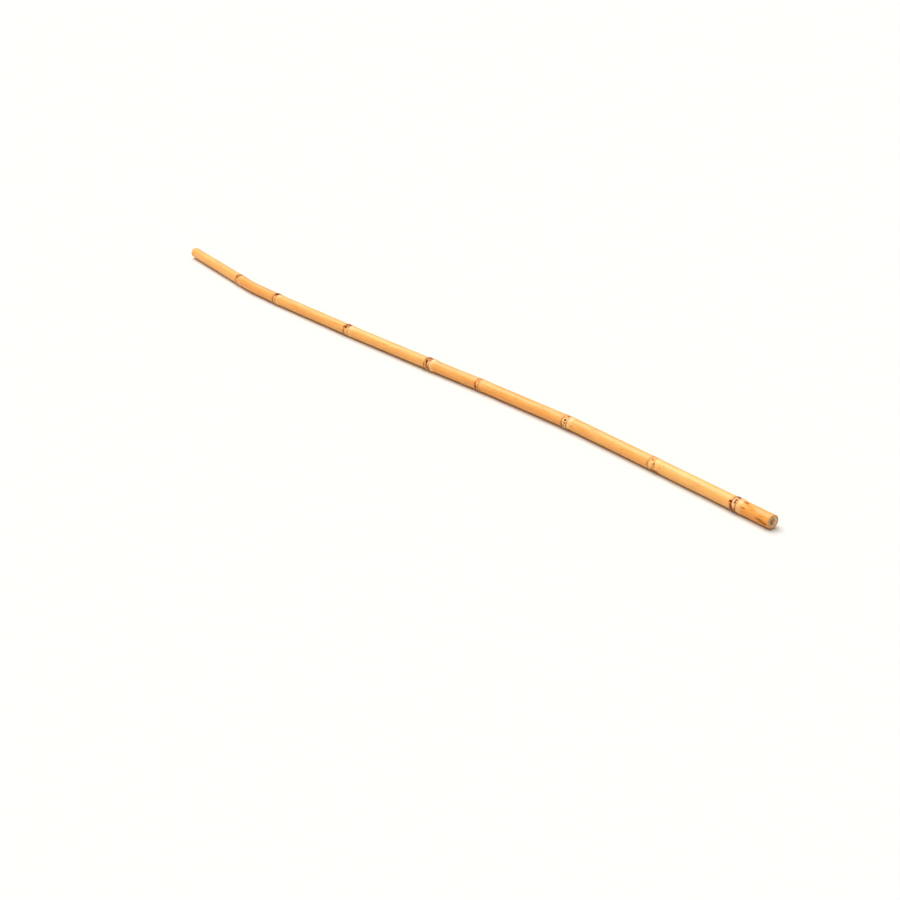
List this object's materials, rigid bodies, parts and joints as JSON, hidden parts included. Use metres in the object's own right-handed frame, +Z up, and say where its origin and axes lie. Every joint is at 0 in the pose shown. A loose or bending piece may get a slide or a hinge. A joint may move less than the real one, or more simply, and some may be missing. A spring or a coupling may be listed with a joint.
{
  "type": "bamboo cane",
  "caption": "Straw-coloured bamboo garden cane with swollen ringed nodes, a slight natural sway and square-sawn hollow ends, lying flat; used to stake and support plants.",
  "frame": {"origin": "middle of the cane's box, at the height of the surface it lies on", "axes": "+X along the cane from the butt, its thick end, to the tip; +Z up from the surface; the natural sway lies in the XY plane"},
  "size_m": [1.2008, 0.0456, 0.018],
  "materials": {
    "culm": "satin"
  },
  "bodies": {
    "root": {"cane": "culm"}
  },
  "joints": []
}
